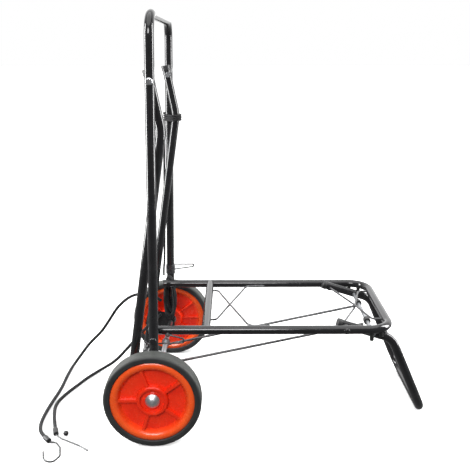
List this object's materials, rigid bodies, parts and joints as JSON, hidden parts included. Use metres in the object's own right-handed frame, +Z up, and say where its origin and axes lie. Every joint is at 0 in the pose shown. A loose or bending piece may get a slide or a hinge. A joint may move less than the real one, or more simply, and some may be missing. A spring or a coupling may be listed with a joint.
{
  "type": "folding luggage cart",
  "caption": "Folding two-wheeled luggage cart: tall tube handle, bent rear struts, fold-up tube and wire platform on a front leg, and an elastic cord with wire hooks.",
  "frame": {"origin": "on the floor, below the middle of the cart's length and width, the cord left out", "axes": "+X to the front of the platform, +Y to the cart's left, +Z up"},
  "size_m": [0.7243, 0.472, 0.7315],
  "materials": {
    "black_paint": "glossy black enamel on round steel tube",
    "tyre": "dark grey rubber, slightly dusty",
    "rim_red": "glossy moulded orange-red plastic",
    "black_plastic": "fine matte black plastic",
    "bright_steel": "bright plated steel",
    "zinc_steel": "plain zinc plated steel",
    "dark_wire": "dark coated wire, half gloss",
    "cap_metal": "pressed bright metal",
    "buffer_rubber": "soft black rubber",
    "cord": "braided black cover over elastic"
  },
  "bodies": {
    "frame": {"upright_left": "black_paint", "upright_right": "black_paint", "handle_bow": "black_paint", "rear_strut_left": "black_paint", "rear_strut_right": "black_paint", "rear_foot_bow": "black_paint", "strut_caps": "black_plastic", "strut_bolts": "bright_steel", "strut_spacers": "black_plastic", "axle_plate_left": "black_paint", "axle_plate_right": "black_paint", "axle": "zinc_steel", "axle_clips": "zinc_steel", "wheel_washers": "bright_steel", "hub_caps": "cap_metal", "hinge_spacers": "black_plastic", "cord_hook": "dark_wire", "cord_winding": "cord", "cord_run": "cord", "cord_hank": "cord", "cord_strand_1": "cord", "cord_strand_2": "cord", "cord_hook_1_barrel": "black_plastic", "cord_hook_1_wire": "dark_wire", "cord_hook_2_barrel": "black_plastic", "cord_hook_2_wire": "dark_wire", "hinge_bolts": "black_paint"},
    "wheel_left": {"tyre_left": "tyre", "rim_left": "rim_red", "hub_bush_left": "black_plastic"},
    "wheel_right": {"tyre_right": "tyre", "rim_right": "rim_red", "hub_bush_right": "black_plastic"},
    "platform": {"rail_left": "black_paint", "rail_right": "black_paint", "rail_plugs": "black_plastic", "front_bow": "black_paint", "cross_bar": "black_paint", "rear_wire_left": "dark_wire", "rear_wire_right": "dark_wire", "front_wire_left": "dark_wire", "front_wire_right": "dark_wire", "corner_buffers": "buffer_rubber", "leg_pivot_bolts": "black_paint", "leg_spacers": "black_plastic", "latch_screw": "bright_steel"},
    "leg": {"leg_arm_left": "black_paint", "leg_arm_right": "black_paint", "leg_foot_bow": "black_paint", "leg_caps": "black_plastic", "leg_rod": "zinc_steel", "leg_rod_sleeves": "black_plastic"},
    "links": {"link_rods": "dark_wire"},
    "latch": {"latch_hook": "dark_wire"}
  },
  "joints": [
    {"name": "wheel_left_spin", "type": "hinge", "parent": "frame", "child": "wheel_left", "pos_m": [-0.2094, 0.195, 0.085], "axis": [0, 1, 0], "continuous": true},
    {"name": "wheel_right_spin", "type": "hinge", "parent": "frame", "child": "wheel_right", "pos_m": [-0.2094, -0.195, 0.085], "axis": [0, 1, 0], "continuous": true},
    {"name": "platform_fold", "type": "hinge", "parent": "frame", "child": "platform", "pos_m": [-0.2078, 0, 0.1853], "axis": [0, -1, 0], "range_deg": [0, 90]},
    {"name": "leg_fold", "type": "hinge", "parent": "platform", "child": "leg", "pos_m": [0.1326, 0, 0.1853], "axis": [0, 1, 0], "range_deg": [0, 120.98]},
    {"name": "link_swing", "type": "hinge", "parent": "frame", "child": "links", "pos_m": [-0.2094, 0, 0.085], "axis": [0, -1, 0], "range_deg": [0, 72.26]},
    {"name": "latch_turn", "type": "hinge", "parent": "platform", "child": "latch", "pos_m": [-0.1864, -0.14, 0.181], "axis": [0, 1, 0], "range_deg": [-12, 20]}
  ],
  "couplings": [
    {"joint": "leg_fold", "follows": "platform_fold", "ratio": 1.3441},
    {"joint": "link_swing", "follows": "platform_fold", "ratio": 0.80273}
  ]
}
